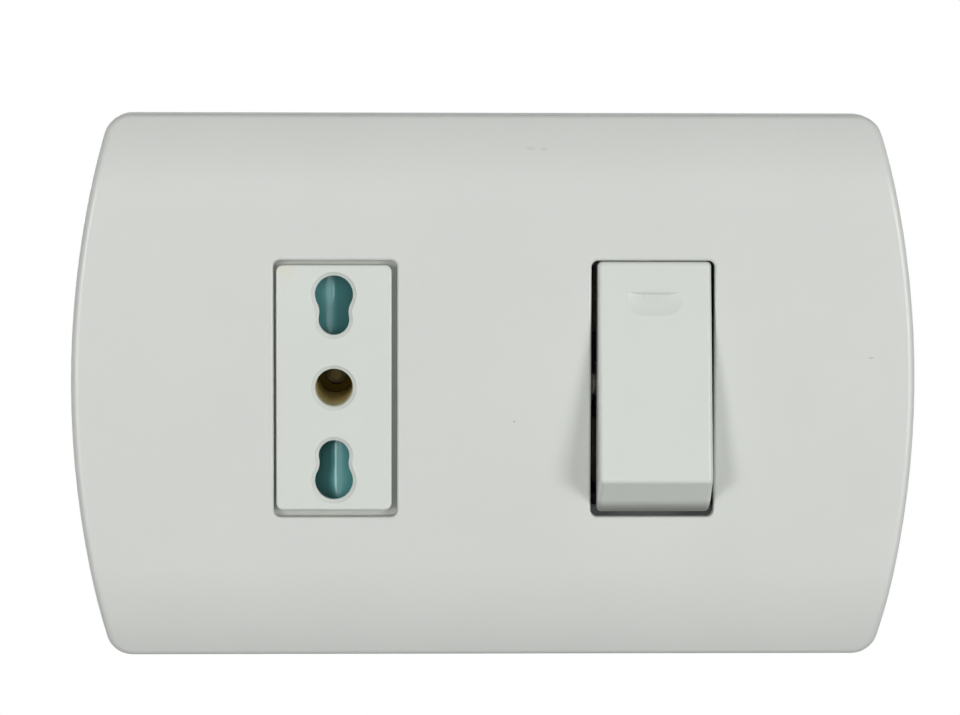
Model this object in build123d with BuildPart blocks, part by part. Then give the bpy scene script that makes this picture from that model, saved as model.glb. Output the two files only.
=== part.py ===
from build123d import *
from math import cos, radians, sin, sqrt, tan
import os

# Wall plate with a socket and a rocker switch, as the pieces it comes apart into.
# Millimetres. X runs right, Z up and the front faces -Y. The origin is the middle of the plate
# on the wall plane. A level is a distance forward of that plane, so level h lies at Y = -h.

# Plug pins: two sizes on two pitches, with the earth pin between them
small_pin = 4.0
large_pin = 5.0
small_pitch = 19.0
large_pitch = 26.0
pin_play = 0.15
hole_lead = 0.5
hole_lead_angle = 90.0
waist_radius = 2.5
small_hole = small_pin / 2 + pin_play
large_hole = large_pin / 2 + pin_play

# Cover plate: bulging sides with a draft, and a face that rolls back at the top and bottom
plate_width = 118.4
plate_height = 76.3
plate_level = 8.5
plate_wall = 1.9
side_radius = 132.0
corner_radius = 3.9
flat_height = 51.0
edge_drop = 3.4
edge_round = 1.15
plate_draft = 2.5

# Socket pad, and the windows that both modules look through
pad_width = 16.05
pad_end = 1.45
pad_corner = 0.95
pad_round = 0.3
pad_front = 1.8
pad_wall = 1.0
pad_side_gap = 0.575
pad_end_gap = 0.8
window_pitch = 44.2
window_drop = 0.16
window_corner = 0.95
window_round = 0.4
pad_height = large_pitch + 2 * (large_hole + pad_end)
window_width = pad_width + 2 * pad_side_gap
window_height = pad_height + 2 * pad_end_gap

# Modules: a flange that sits on the frame, and a body that passes through it
module_pitch = 44.6
flange_gap = 0.12
flange_margin = 2.3
flange_end = 2.6
flange_wall = 1.0
module_corner = 0.8
body_inset = 0.2
body_wall = 1.4
back_wall = 1.4
frame_seat = 1.9
frame_play = 0.3
seam_level = -4.0
back_level = -24.0
socket_x = -module_pitch / 2
switch_x = module_pitch / 2
flange_level = plate_level - plate_wall - flange_gap
flange_width = window_width + 2 * flange_margin
flange_height = window_height + 2 * flange_end
body_width = flange_width - 2 * body_inset
bay_height = flange_height - 2 * frame_seat
body_height = bay_height - 2 * frame_play
inner_width = body_width - 2 * body_wall
inner_height = body_height - 2 * body_wall

# Snap lugs that hold a module in the frame, and the lip and catches that hold its two shells
lug_width = 8.0
lug_bite = 0.6
lug_length = 2.0
lug_land = 0.5
lug_play = 0.1
lip_rise = 2.4
lip_wall = 0.9
lip_play = 0.05
catch_width = 3.6
catch_height = 1.2
catch_out = 0.9
catch_play = 0.2
catch_pitch = 20.0
catch_cut = 6.0
catch_level = seam_level + lip_rise / 2
base_width = inner_width - 2 * (lip_play + lip_wall)
base_height = inner_height - 2 * (lip_play + lip_wall)

# Support frame, which the box screws and the plate's hooks hold
frame_thick = 2.5
frame_side_gap = 1.2
frame_end_gap = 4.6
frame_corner = 4.0
frame_rim = 1.2
frame_rim_rise = 1.5
screw_spacing = 83.5
screw_slot_width = 4.2
screw_slot_length = 7.0
tooth_width = 1.1
tooth_height = 1.4
bay_width = module_pitch + body_width + 2 * frame_play
frame_height = plate_height - 2 * (plate_wall + frame_end_gap)

# Plate hooks and the frame's slots for them
hook_pitch = 60.0
hook_width = 6.0
hook_thick = 1.4
hook_bite = 0.7
hook_land = 0.2
hook_play = 0.3
hook_end_level = 0.4
hook_ledge = 1.2
hook_z = (flange_height + frame_height) / 4

# Screw terminals, alike on both modules
divider = 1.2
tab_level = -15.0
tab_thick = 0.8
tab_width = 14.5
tab_play = 0.15
ledge = 1.2
ledge_width = 10.0
wire_gap = 2.2
wire_slot = 5.0
clamp_thick = 1.0
clamp_width = 8.0
clamp_height = 7.0
clamp_round = 0.6
clamp_play = 0.2
screw_radius = 1.5
thread_play = 0.02
screw_back = 0.1
screw_point = 0.5
head_radius = 2.5
head_height = 1.8
head_round = 0.4
driver_width = 0.8
driver_depth = 0.9
access_play = 0.4
chamber_height = (base_height - 2 * divider) / 3
chamber_pitch = chamber_height + divider
tab_height = chamber_height - 2 * tab_play
tab_back = tab_level - tab_thick
clamp_level = tab_back - wire_gap
head_level = clamp_level - clamp_thick

# Pin contacts and the earth tube
leaf = 0.7
leaf_pinch = 0.15
leaf_margin = 0.2
mouth_drop = 0.6
mouth_flare = 0.6
mouth_length = 1.4
tube_wall = 0.6
tube_play = 0.05
tube_seat = 0.4
tube_slit = 0.8
tube_inner = large_hole - tube_play
tube_outer = tube_inner + tube_wall
pad_back = plate_level - pad_front

# Contact cover and shutter
cover_thick = 1.2
cover_play = 0.1
cover_hole_play = 0.3
boss_rise = 1.2
boss_play = 0.1
hub_wall = 1.1
hub_play = 0.08
hub_lift = 0.2
shutter_play = 0.3
shutter_overlap = 0.25
shutter_drop = 3.0
shutter_floor = 1.0
shutter_neck = 4.0
shutter_slope = 35.0
shutter_lean = 12.0
ridge_offset = 0.28
ridge_round = 2.0
collar_thick = 1.2
collar_margin = 0.9
cover_level = seam_level + cover_thick
boss_level = cover_level + boss_rise
shutter_level = flange_level - flange_wall - shutter_play
shutter_back = shutter_level - shutter_drop - shutter_floor
hub_inner = tube_outer + hub_play
hub_outer = hub_inner + hub_wall

# Shutter spring
twist_wire = 0.25
twist_gap = 0.45
twist_turns = 3
twist_pitch = 0.85
twist_lift = 0.6
twist_leg_play = 0.1
twist_leg_in = 0.8
twist_radius = hub_outer + twist_gap + twist_wire

# Rocker: its outline is set out in front of the pivot, square to its mid position
rocker_swing = 11.0
pivot_level = 1.5
rocker_gap = 0.68
rocker_gap_top = 0.65
rocker_base = 3.85
rocker_top_rise = 4.5
rocker_top_lean = 0.35
rocker_nose_rise = 7.4
rocker_nose_inset = 4.15
rocker_foot_rise = 1.2
rocker_roll = 2.4
rocker_draft = 0.3
rocker_round = 0.7
rocker_wall = 1.6
rocker_ceiling = 1.8
rocker_rest = rocker_swing / 2
rocker_width = window_width - 2 * rocker_gap
rocker_top = window_height / 2 - rocker_gap_top
rocker_bottom = -window_height / 2
pivot_radius = 1.5
pivot_play = 0.06
pivot_end_play = 0.1
pivot_reach = 2.1
ear_radius = 3.0
bearing_radius = 2.6
bearing_gap = 0.4
mark_radius = 8.0
mark_depth = 0.3
mark_straight = 3.0
mark_height = 12.3
opening_side_gap = 0.2
opening_end_gap = 0.6
opening_lip = 0.7

# Plunger and seesaw blade of the switch
stem_outer = 3.2
stem_reach = 4.6
stem_bore = 2.1
stem_depth = 5.0
plunger_play = 0.06
plunger_top = 0.5
plunger_shoulder = 6.2
plunger_reach = 8.0
plunger_tip = 1.0
push_wire = 0.2
push_turns = 6
push_gap = 0.35
push_end = 0.15
saddle_rise = 1.5
saddle_play = 0.12
blade_front = 1.2
blade_thick = 0.8
blade_width = 5.6
blade_low = -3.4
blade_high = 11.0
lug_pin = 0.7
lug_pin_play = 0.08
yoke_thick = 0.8
yoke_gap = 0.6
yoke_half = 1.8
yoke_top = 0.9
tip_place = 9.2
tip_radius = 1.5
tip_thick = 0.8
tip_shank = 0.8
tip_round = 0.2
tip_play = 0.02
tip_gap = 0.2
shelf_width = 6.0
shelf_low = 7.2
blade_level = pivot_level - plunger_reach - saddle_rise
saddle_path = (plunger_reach - saddle_rise) ** 2 / (3 * plunger_reach - saddle_rise)
saddle_radius = saddle_path + plunger_tip + saddle_play
saddle_centre = saddle_rise + saddle_path
yoke_in = blade_width / 2 + yoke_gap
yoke_out = yoke_in + yoke_thick

# How near a measured place must be to count as the same, and how squarely a face must look forward
same_place = 0.01
forward_share = 0.5


def level(h, x=0.0):
    """Plane parallel to the wall at level h, centred on x, facing forward."""
    return Plane(origin=(x, -h, 0), x_dir=(1, 0, 0), z_dir=(0, -1, 0))


def side(x):
    """Plane for side profiles at x: its own axes are level and height."""
    return Plane(origin=(x, 0, 0), x_dir=(0, -1, 0), z_dir=(-1, 0, 0))


def section(x):
    """Plane for sections seen from above at x: its own axes are X and level."""
    return Plane(origin=(x, 0, 0), x_dir=(1, 0, 0), z_dir=(0, 0, -1))


def tilted(x, h, angle):
    """Side-profile plane about a pivot at level h, with its forward axis raised by the angle."""
    a = radians(angle)
    return Plane(origin=(x, -h, 0), x_dir=(0, -cos(a), sin(a)), z_dir=(-1, 0, 0))


def tilted_section(x, h, angle):
    """Section plane in the same tilted frame: its own axes are X and forward."""
    a = radians(angle)
    return Plane(origin=(x, -h, 0), x_dir=(1, 0, 0), z_dir=(0, -sin(a), -cos(a)))


def along(x, h, angle, reach):
    """Plane across the tilted frame's forward axis, at a reach in front of the pivot."""
    a = radians(angle)
    origin = (x, -h - reach * cos(a), reach * sin(a))
    return Plane(origin=origin, x_dir=(1, 0, 0), z_dir=(0, -cos(a), sin(a)))


def plate_half_width(z):
    """Half the plate's width at height z, on the bulging sides."""
    return plate_width / 2 - side_radius + sqrt(side_radius**2 - z**2)


def keep(part, name):
    """Label a finished piece and write its STEP file."""
    part.part.label = name
    export_step(part.part, f"parts/{name}.step")


os.makedirs("parts", exist_ok=True)


# Cover plate
def plate_form(inset):
    """The plate's outer form, or the same form drawn in by a wall for the hollow behind it."""
    half_height = plate_height / 2 - inset
    half_flat = flat_height / 2
    run = plate_height / 2 - half_flat
    roll = (run**2 + edge_drop**2) / (2 * edge_drop)
    face = plate_level - inset
    roll_centre = plate_level - roll
    rim = roll_centre + sqrt((roll - inset) ** 2 - (half_height - half_flat) ** 2)
    half_top = plate_width / 2 - side_radius + sqrt((side_radius - inset) ** 2 - half_height**2)
    middle = plate_width / 2 - inset
    with BuildPart() as form:
        with BuildSketch(level(0)):
            with BuildLine():
                Line((-half_top, half_height), (half_top, half_height))
                ThreePointArc((half_top, half_height), (middle, 0), (half_top, -half_height))
                Line((half_top, -half_height), (-half_top, -half_height))
                ThreePointArc((-half_top, -half_height), (-middle, 0), (-half_top, half_height))
            outline = make_face()
            fillet(outline.vertices(), corner_radius - inset)
        extrude(amount=plate_level, taper=plate_draft)
        with BuildSketch(side(0)):
            with BuildLine():
                Polyline((rim, -half_height), (0, -half_height), (0, half_height), (rim, half_height))
                TangentArc((face, half_flat), (rim, half_height), tangent=(0, 1))
                Line((face, half_flat), (face, -half_flat))
                TangentArc((face, -half_flat), (rim, -half_height), tangent=(0, -1))
            make_face()
        extrude(amount=plate_width, both=True, mode=Mode.INTERSECT)
    return form.part


def rim_edges(faces):
    """Edges round the front of the plate, without the two borders of its flat band."""
    front = faces.filter_by(lambda f: f.normal_at().Y < -forward_share)
    return front.edges().filter_by(lambda e: abs(abs(e.center().Z) - flat_height / 2) > edge_round)


def window_places():
    """Middles of the two windows in the plate."""
    return [(-window_pitch / 2, -window_drop), (window_pitch / 2, -window_drop)]


def in_window(edge):
    """Whether an edge lies on the plate's face at a window's border."""
    centre = edge.center()
    near_side = abs(abs(centre.X) - window_pitch / 2) < window_width / 2 + same_place
    near_end = abs(centre.Z + window_drop) < window_height / 2 + same_place
    return near_side and near_end


plate_outer = plate_form(0.0)
plate_hollow = plate_form(plate_wall)

with BuildPart() as cover_plate:
    add(plate_outer)
    fillet(rim_edges(cover_plate.faces()), edge_round)
    add(plate_hollow, mode=Mode.SUBTRACT)
    with BuildSketch(level(plate_level)):
        with Locations(*window_places()):
            RectangleRounded(window_width, window_height, window_corner)
    extrude(amount=-2 * plate_wall, mode=Mode.SUBTRACT)
    window_edges = cover_plate.edges().group_by(Axis.Y)[0].filter_by(in_window)
    fillet(window_edges, window_round)
    for up in (1, -1):
        leg_in = up * (hook_z - hook_thick / 2)
        leg_out = up * (hook_z + hook_thick / 2)
        barb_out = up * (hook_z + hook_thick / 2 + hook_bite)
        barb_level = frame_thick - hook_ledge - hook_play
        leg_top = plate_level - plate_wall / 2
        for x in (-hook_pitch / 2, hook_pitch / 2):
            with BuildSketch(side(x)):
                with BuildLine():
                    Polyline(
                        (leg_top, leg_in),
                        (hook_end_level, leg_in),
                        (hook_end_level, leg_out),
                        (barb_level - hook_land, barb_out),
                        (barb_level, barb_out),
                        (barb_level, leg_out),
                        (leg_top, leg_out),
                        close=True,
                    )
                make_face()
            extrude(amount=hook_width / 2, both=True)

# Support frame
frame_width = 2 * (plate_half_width(frame_height / 2) - plate_wall - frame_side_gap)
hook_places = [(x, z) for x in (-hook_pitch / 2, hook_pitch / 2) for z in (-hook_z, hook_z)]
tooth_x = module_pitch / 2 - body_width / 2 - frame_play - tooth_width / 2
tooth_z = bay_height / 2 - tooth_height / 2

with BuildPart() as support_frame:
    with BuildSketch(level(0)):
        RectangleRounded(frame_width, frame_height, frame_corner)
        Rectangle(bay_width, bay_height, mode=Mode.SUBTRACT)
        with GridLocations(screw_spacing, 0, 2, 1):
            SlotOverall(screw_slot_length, screw_slot_width, mode=Mode.SUBTRACT)
        with GridLocations(2 * tooth_x, 2 * tooth_z, 2, 2):
            Rectangle(tooth_width, tooth_height)
    extrude(amount=frame_thick)
    with BuildSketch(level(frame_thick)):
        RectangleRounded(frame_width, frame_height, frame_corner)
        inner_corner = frame_corner - frame_rim
        rim_width = frame_width - 2 * frame_rim
        rim_height = frame_height - 2 * frame_rim
        RectangleRounded(rim_width, rim_height, inner_corner, mode=Mode.SUBTRACT)
    extrude(amount=frame_rim_rise)
    with BuildSketch(level(0)):
        with Locations(*hook_places):
            Rectangle(hook_width + 2 * hook_play, hook_thick + 2 * hook_play)
    extrude(amount=frame_thick, mode=Mode.SUBTRACT)
    for x, z in hook_places:
        outward = 1 if z > 0 else -1
        pocket = hook_bite + hook_play
        middle = z + outward * (hook_thick / 2 + pocket / 2)
        with BuildSketch(level(0)):
            with Locations((x, middle)):
                Rectangle(hook_width + 2 * hook_play, pocket)
        extrude(amount=frame_thick - hook_ledge, mode=Mode.SUBTRACT)


# Module shells
def front_shell(x):
    """Flange and skirt of a module, with the lugs that snap behind the frame."""
    with BuildPart() as shell:
        with BuildSketch(level(frame_thick, x)):
            RectangleRounded(flange_width, flange_height, module_corner)
        extrude(amount=flange_level - frame_thick)
        with BuildSketch(level(seam_level, x)):
            RectangleRounded(body_width, body_height, module_corner)
        extrude(amount=frame_thick - seam_level)
        for up in (1, -1):
            root = up * (body_height / 2 - body_wall / 2)
            crest = up * (bay_height / 2 + lug_bite)
            with BuildSketch(side(x)):
                with BuildLine():
                    Polyline(
                        (-lug_play, root),
                        (-lug_play, crest),
                        (-lug_play - lug_land, crest),
                        (-lug_play - lug_length, up * body_height / 2),
                        (-lug_play - lug_length, root),
                        close=True,
                    )
                make_face()
            extrude(amount=lug_width / 2, both=True)
        with Locations((x, -catch_level, 0)):
            with GridLocations(body_width, 0, 2, 1):
                for z in (-catch_pitch / 2, catch_pitch / 2):
                    with Locations((0, 0, z)):
                        Box(
                            catch_cut,
                            catch_height + 2 * catch_play,
                            catch_width + 2 * catch_play,
                            mode=Mode.SUBTRACT,
                        )
    return shell.part


def base_shell(x, chambers, divider_level):
    """Rear box of a module, with a ledge under each terminal and dividers between them."""
    floor_level = back_level + back_wall
    divider_z = (chamber_height + divider) / 2
    ledge_z = chamber_height / 2 - ledge / 2
    with BuildPart() as shell:
        with BuildSketch(level(back_level, x)):
            RectangleRounded(body_width, body_height, module_corner)
        extrude(amount=seam_level - back_level)
        with BuildSketch(level(seam_level, x)):
            Rectangle(inner_width - 2 * lip_play, inner_height - 2 * lip_play)
        extrude(amount=lip_rise)
        with BuildSketch(level(floor_level, x)):
            Rectangle(base_width, base_height)
        extrude(amount=seam_level + lip_rise - floor_level, mode=Mode.SUBTRACT)
        with BuildSketch(level(floor_level, x)):
            with Locations((0, -divider_z), (0, divider_z)):
                Rectangle(base_width, divider)
        extrude(amount=divider_level - floor_level)
        with BuildSketch(level(floor_level, x)):
            for z in chambers:
                with Locations((0, z - ledge_z), (0, z + ledge_z)):
                    Rectangle(ledge_width, ledge)
        extrude(amount=tab_back - floor_level)
        with BuildSketch(level(back_level, x)):
            for z in chambers:
                with Locations((0, z)):
                    Circle(head_radius + access_play)
        extrude(amount=back_wall, mode=Mode.SUBTRACT)
        with BuildSketch(level(clamp_level, x)):
            for z in chambers:
                with Locations((-body_width / 2, z), (body_width / 2, z)):
                    Rectangle(2 * (body_width - base_width), wire_slot)
        extrude(amount=wire_gap, mode=Mode.SUBTRACT)
        lip_side = inner_width / 2 - lip_play
        for across in (-1, 1):
            for z in (-catch_pitch / 2, catch_pitch / 2):
                with Locations((x + across * (lip_side + (catch_out - lip_wall) / 2), -catch_level, z)):
                    Box(catch_out + lip_wall, catch_height, catch_width)
    return shell.part


socket_chambers = [-chamber_pitch, 0.0, chamber_pitch]
switch_chambers = [-chamber_pitch, chamber_pitch]


# Socket front
def keyhole_sketch(play):
    """Both keyholes on the current sketch plane, widened by a play.

    Each is a small and a large pin hole, with a round waist on each side that touches both.
    """
    small = small_hole + play
    large = large_hole + play
    waist = waist_radius - play
    step = (large_pitch - small_pitch) / 2
    waist_up = (step**2 + (small + waist) ** 2 - (large + waist) ** 2) / (2 * step)
    waist_across = sqrt((small + waist) ** 2 - waist_up**2)
    small_touch = small / (small + waist)
    large_touch = large / (large + waist)
    low = (waist_across * small_touch, waist_up * small_touch)
    high = (waist_across * large_touch, step + (waist_up - step) * large_touch)
    for up in (1, -1):
        with Locations((0, up * small_pitch / 2)):
            Circle(small)
            Polygon(
                (-low[0], up * low[1]),
                (low[0], up * low[1]),
                (high[0], up * high[1]),
                (-high[0], up * high[1]),
                align=None,
            )
            with Locations((-waist_across, up * waist_up), (waist_across, up * waist_up)):
                Circle(waist, mode=Mode.SUBTRACT)
        with Locations((0, up * large_pitch / 2)):
            Circle(large)


with BuildPart() as socket_front:
    add(front_shell(socket_x))
    with BuildSketch(level(flange_level, socket_x)):
        RectangleRounded(pad_width, pad_height, pad_corner)
    extrude(amount=plate_level - flange_level)
    fillet(socket_front.edges().group_by(Axis.Y)[0], pad_round)
    with BuildSketch(level(seam_level, socket_x)):
        Rectangle(inner_width, inner_height)
    extrude(amount=flange_level - flange_wall - seam_level, mode=Mode.SUBTRACT)
    with BuildSketch(level(flange_level - flange_wall, socket_x)):
        Rectangle(pad_width - 2 * pad_wall, pad_height - 2 * pad_wall)
    extrude(amount=pad_back - flange_level + flange_wall, mode=Mode.SUBTRACT)
    with BuildSketch(level(plate_level, socket_x)):
        keyhole_sketch(0.0)
    extrude(amount=-2 * pad_front, mode=Mode.SUBTRACT)
    keyholes = socket_front.faces().sort_by(Axis.Y)[0].inner_wires()
    chamfer(keyholes.edges(), hole_lead, angle=hole_lead_angle / 2)
    with Locations(level(plate_level, socket_x)):
        CounterSinkHole(large_hole, large_hole + hole_lead, 2 * pad_front, hole_lead_angle)
    with BuildSketch(level(pad_back, socket_x)):
        Circle(tube_outer + tube_play)
    extrude(amount=tube_seat, mode=Mode.SUBTRACT)

# Socket base
with BuildPart() as socket_base:
    add(base_shell(socket_x, socket_chambers, seam_level))

# Contact cover: a plate on the dividers, with a boss that the shutter turns above
spring_hole = twist_wire + twist_leg_play

with BuildPart() as contact_cover:
    with BuildSketch(level(seam_level, socket_x)):
        Rectangle(base_width - 2 * cover_play, base_height - 2 * cover_play)
        with Locations((twist_radius, 0)):
            Circle(spring_hole, mode=Mode.SUBTRACT)
    extrude(amount=cover_thick)
    with BuildSketch(level(seam_level, socket_x)):
        keyhole_sketch(cover_hole_play)
    extrude(amount=cover_thick, mode=Mode.SUBTRACT)
    with BuildSketch(level(cover_level, socket_x)):
        Circle(hub_outer)
    extrude(amount=boss_rise)
    with BuildSketch(level(seam_level, socket_x)):
        Circle(tube_outer + boss_play)
    extrude(amount=cover_thick + boss_rise, mode=Mode.SUBTRACT)

# Shutter: a hub on the earth tube with two wings, each with a round ridge between two slopes
wing_small = small_hole + shutter_overlap
wing_large = large_hole + shutter_overlap
hub_level = boss_level + hub_lift
collar_radius = twist_radius + collar_margin
spring_rise = twist_turns * twist_pitch

with BuildPart() as shutter:
    for up in (1, -1):
        with BuildSketch(level(shutter_back, socket_x)):
            with Locations((0, up * small_pitch / 2)):
                Circle(wing_small)
            with Locations((0, up * large_pitch / 2)):
                Circle(wing_large)
            make_hull()
            with Locations((0, up * small_pitch / 4)):
                Rectangle(shutter_neck, small_pitch / 2)
        extrude(amount=shutter_drop + shutter_floor)
        with BuildSketch(section(socket_x)) as over_wing:
            with BuildLine():
                low = shutter_level - shutter_drop
                slope_run = shutter_drop / tan(radians(shutter_slope))
                lean_drop = 2 * wing_large * tan(radians(shutter_lean))
                Polyline(
                    (-up * ridge_offset, shutter_level),
                    (up * (slope_run - ridge_offset), low),
                    (up * (slope_run + wing_large), low),
                    (up * (slope_run + wing_large), shutter_level + ridge_round),
                    (-up * (ridge_offset + 2 * wing_large), shutter_level + ridge_round),
                    (-up * (ridge_offset + 2 * wing_large), shutter_level - lean_drop),
                    close=True,
                )
            make_face()
            corners = over_wing.vertices().sort_by_distance((-up * ridge_offset, shutter_level, 0))
            fillet(corners[0], ridge_round)
        extrude(amount=-up * large_pitch, mode=Mode.SUBTRACT)
    with BuildSketch(level(hub_level, socket_x)):
        Circle(hub_outer)
    extrude(amount=shutter_level - hub_level)
    with BuildSketch(level(shutter_back, socket_x)):
        Circle(collar_radius)
    extrude(amount=collar_thick)
    with BuildSketch(level(shutter_back, socket_x)):
        with Locations((twist_radius, 0)):
            Circle(spring_hole)
    extrude(amount=collar_thick, mode=Mode.SUBTRACT)
    with BuildSketch(level(hub_level, socket_x)):
        Circle(hub_inner)
    extrude(amount=shutter_level - hub_level, mode=Mode.SUBTRACT)


# Springs
def coil(radius, pitch, turns, wire):
    """Round-wire coil that climbs along Z, from the point on the X axis."""
    with BuildPart() as wound:
        with BuildLine() as path:
            Helix(pitch, pitch * turns, radius)
        with BuildSketch(Plane(origin=path.line @ 0, z_dir=path.line % 0)):
            Circle(wire)
        sweep(path=path.line, is_frenet=True)
    return wound.part


with BuildPart() as shutter_spring:
    low_end = level(cover_level + twist_lift, socket_x)
    high_end = level(cover_level + twist_lift + spring_rise, socket_x)
    with Locations(low_end):
        add(coil(twist_radius, twist_pitch, twist_turns, twist_wire))
    with Locations(low_end, high_end):
        with Locations((twist_radius, 0)):
            Sphere(twist_wire)
    with BuildSketch(low_end):
        with Locations((twist_radius, 0)):
            Circle(twist_wire)
    extrude(amount=-twist_lift - twist_leg_in)
    with BuildSketch(high_end):
        with Locations((twist_radius, 0)):
            Circle(twist_wire)
    extrude(amount=shutter_back + twist_leg_in - cover_level - twist_lift - spring_rise)


# Terminal tabs, clamp plates and screws
def tab_sketch(z):
    """Terminal tab with its screw hole, on the current sketch plane."""
    with Locations((0, z)):
        Rectangle(tab_width, tab_height)
        Circle(screw_radius + thread_play, mode=Mode.SUBTRACT)


def clamp_plate(x, z):
    """Square plate that the screw's head presses on a wire."""
    with BuildPart() as clamp:
        with BuildSketch(level(head_level, x)):
            with Locations((0, z)):
                RectangleRounded(clamp_width, clamp_height, clamp_round)
                Circle(screw_radius + clamp_play, mode=Mode.SUBTRACT)
        extrude(amount=clamp_thick)
    return clamp


def terminal_screws(x, chambers):
    """Slotted terminal screws, heads to the rear, backed out until they end inside their tabs."""
    head_back = head_level - head_height
    with BuildPart() as screws:
        with BuildSketch(level(head_level, x)):
            for z in chambers:
                with Locations((0, z)):
                    Circle(head_radius)
        extrude(amount=-head_height)
        fillet(screws.edges().group_by(Axis.Y)[-1], head_round)
        with BuildSketch(level(head_level, x)):
            for z in chambers:
                with Locations((0, z)):
                    Circle(screw_radius)
        extrude(amount=tab_level - screw_back - head_level)
        chamfer(screws.edges().group_by(Axis.Y)[0], screw_point)
        with BuildSketch(level(head_back, x)):
            for z in chambers:
                with Locations((0, z)):
                    Rectangle(2 * head_radius, driver_width)
        extrude(amount=driver_depth, mode=Mode.SUBTRACT)
    return screws


# Pin contacts: a folded strip with two leaves that pinch the pin
def pin_contact(up):
    """Brass contact for the pins above or below the earth pin."""
    leaf_in = small_pin / 2 - leaf_pinch
    mouth = seam_level - mouth_drop
    low = small_pitch / 2 - small_pin / 2 - leaf_margin
    high = large_pitch / 2 + large_pin / 2 + leaf_margin
    middle = Plane(origin=(socket_x, 0, up * low), x_dir=(1, 0, 0), z_dir=(0, 0, -1))
    with BuildPart() as contact:
        with BuildSketch(level(tab_back, socket_x)):
            tab_sketch(up * chamber_pitch)
        extrude(amount=tab_thick)
        with BuildSketch(middle):
            with BuildLine():
                Polyline(
                    (leaf_in, tab_back),
                    (leaf_in, mouth - mouth_length),
                    (leaf_in + mouth_flare, mouth),
                    (leaf_in + mouth_flare + leaf, mouth),
                    (leaf_in + leaf, mouth - mouth_length),
                    (leaf_in + leaf, tab_back),
                    close=True,
                )
            make_face()
            mirror(about=Plane.YZ)
        extrude(amount=-up * (high - low))
    return contact


live_contact = pin_contact(1)
neutral_contact = pin_contact(-1)

# Earth contact: a slit tube on its terminal tab
tube_front = pad_back + tube_seat - tube_play

with BuildPart() as earth_contact:
    with BuildSketch(level(tab_back, socket_x)):
        tab_sketch(0.0)
    extrude(amount=tab_thick)
    with BuildSketch(level(tab_level, socket_x)):
        Circle(tube_outer)
        Circle(tube_inner, mode=Mode.SUBTRACT)
        with Locations((0, tube_outer)):
            Rectangle(tube_slit, 2 * tube_wall + tube_slit, mode=Mode.SUBTRACT)
    extrude(amount=tube_front - tab_level)

# Switch front
opening_width = window_width + 2 * opening_side_gap
opening_height = window_height + 2 * opening_end_gap
rocker_half = rocker_width / 2

with BuildPart() as switch_front:
    add(front_shell(switch_x))
    with BuildSketch(level(seam_level, switch_x)):
        Rectangle(inner_width, inner_height)
    extrude(amount=frame_thick + opening_lip - seam_level, mode=Mode.SUBTRACT)
    with BuildSketch(level(frame_thick + opening_lip, switch_x)):
        Rectangle(opening_width, opening_height)
    extrude(amount=flange_level - frame_thick - opening_lip, mode=Mode.SUBTRACT)
    for across in (-1, 1):
        boss_start = switch_x + across * (rocker_half + bearing_gap)
        boss_length = inner_width / 2 - rocker_half - bearing_gap + body_wall / 2
        with BuildSketch(side(boss_start)):
            with Locations((pivot_level, 0)):
                Circle(bearing_radius)
        extrude(amount=-across * boss_length)
        with BuildSketch(side(boss_start)):
            with Locations((pivot_level, 0)):
                Circle(pivot_radius + pivot_play)
        extrude(amount=-across * (pivot_reach - bearing_gap + pivot_end_play), mode=Mode.SUBTRACT)

# Switch base
with BuildPart() as switch_base:
    add(base_shell(switch_x, switch_chambers, tab_back))


# Rocker
nose_w = rocker_bottom + rocker_nose_inset
top_w = rocker_top - rocker_top_lean
face_slope = (rocker_nose_rise - rocker_top_rise) / (top_w - nose_w)


def face_reach(w):
    """Distance of the rocker's face in front of the pivot, at a place up its length."""
    return rocker_base + rocker_top_rise + (top_w - w) * face_slope


rocker_side = tilted(switch_x, pivot_level, rocker_rest)
rocker_across = tilted_section(switch_x, pivot_level, rocker_rest)
draft_end = rocker_base + 2 * rocker_nose_rise
drafted_half = rocker_half - (draft_end - rocker_base) * tan(radians(rocker_draft))

# The sloped end below the nose rolls under into the foot, over its last stretch
slope_rise = rocker_nose_rise - rocker_foot_rise
roll_share = rocker_roll / sqrt(slope_rise**2 + rocker_nose_inset**2)
roll_start = (
    rocker_base + rocker_foot_rise + slope_rise * roll_share,
    rocker_bottom + rocker_nose_inset * roll_share,
)

with BuildPart() as rocker_key:
    with BuildSketch(rocker_side):
        with BuildLine():
            Polyline(
                (rocker_base, rocker_bottom),
                (rocker_base, rocker_top),
                (rocker_base + rocker_top_rise, top_w),
                (rocker_base + rocker_nose_rise, nose_w),
                roll_start,
            )
            TangentArc(roll_start, (rocker_base, rocker_bottom), tangent=(-slope_rise, -rocker_nose_inset))
        make_face()
    extrude(amount=rocker_half, both=True)
    with BuildSketch(rocker_across):
        with BuildLine():
            Polyline(
                (-rocker_half, 0),
                (rocker_half, 0),
                (rocker_half, rocker_base),
                (drafted_half, draft_end),
                (-drafted_half, draft_end),
                (-rocker_half, rocker_base),
                close=True,
            )
        make_face()
    extrude(amount=window_height, both=True, mode=Mode.INTERSECT)
    face_edges = rocker_key.edges().filter_by(
        lambda e: rocker_side.to_local_coords(e.center()).X > rocker_base + same_place
    )
    fillet(face_edges, rocker_round)

# Finger mark: the lower half of a shallow trough with round ends, cut off by a wall that leans out
mark_reach = face_reach(mark_height) + mark_radius - mark_depth
mark_plane = along(switch_x, pivot_level, rocker_rest, mark_reach)
mark_deepest = mark_plane.from_local_coords(Vector(0, mark_height, -mark_radius))
mark_lean = mark_plane.from_local_coords(Vector(0, 1, -1)) - mark_plane.origin

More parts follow.
